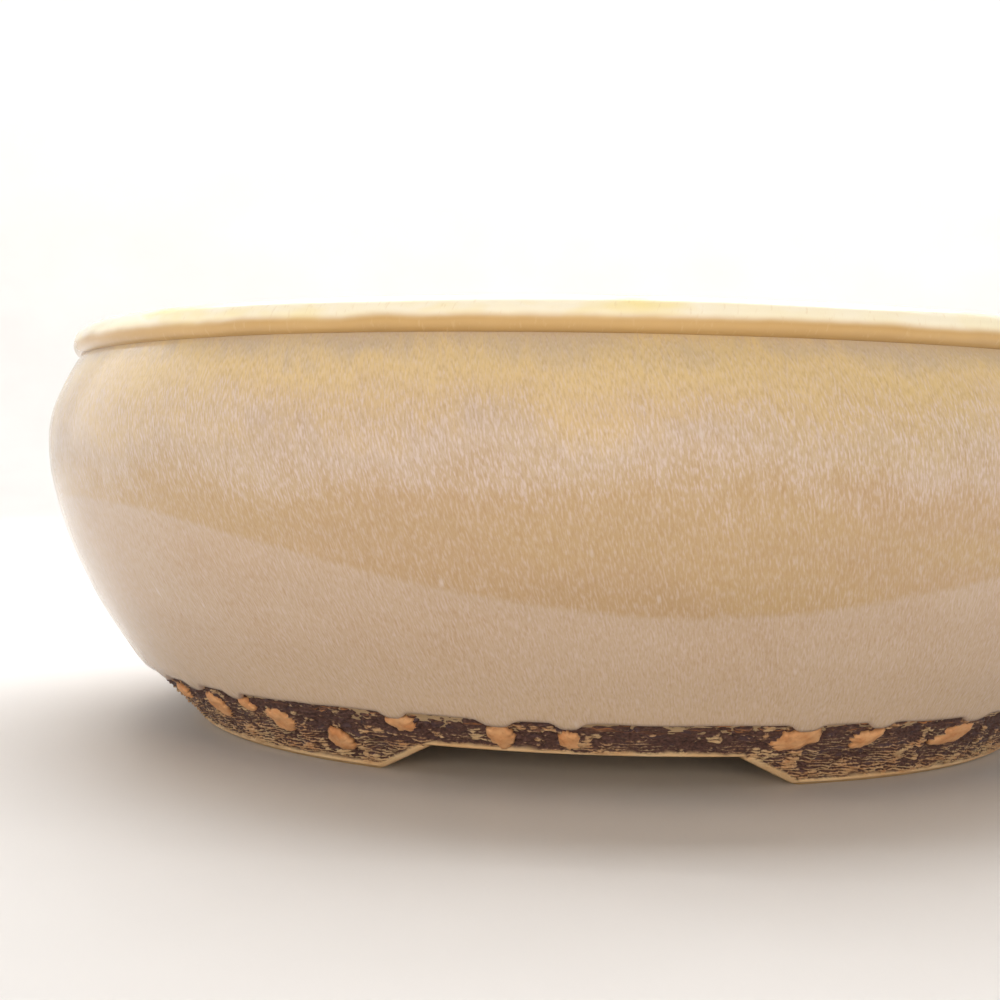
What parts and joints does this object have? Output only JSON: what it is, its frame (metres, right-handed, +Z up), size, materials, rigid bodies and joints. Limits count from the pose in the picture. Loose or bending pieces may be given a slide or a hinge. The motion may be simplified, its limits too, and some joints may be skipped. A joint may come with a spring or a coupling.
{
  "type": "bonsai pot",
  "caption": "Round shallow glazed stoneware bonsai pot with a rolled lip, full belly, bark-textured base strip, low arc feet, a drain hole and tie-wire holes.",
  "frame": {"origin": "on the pot's round axis at table level, midway between the soles of the feet", "axes": "+Z up along the pot's axis; -Y towards the front, where the gap between two feet is centred; +X to the right seen from the front"},
  "size_m": [0.1496, 0.1496, 0.0504],
  "materials": {
    "buff_clay": "bare high-fired stoneware, fine sandy matt",
    "body_glaze": "glossy ochre rutile glaze with fine lavender streaks",
    "rim_glaze": "glossy caramel glaze, paler where it runs thin over the lip",
    "bark_clay": "torn clay with a dark manganese wash rubbed off the high spots",
    "dab_clay": "smooth orange-brown clay, matt"
  },
  "bodies": {
    "root": {"floor_slab": "buff_clay", "bowl_wall": "buff_clay", "corner_coil": "buff_clay", "rim_lip": "buff_clay", "outer_glaze": "body_glaze", "rim_glaze": "rim_glaze", "bark_band": "bark_clay", "foot_front_left": "bark_clay", "foot_front_right": "bark_clay", "foot_back": "bark_clay", "clay_dabs": "dab_clay"}
  },
  "joints": []
}
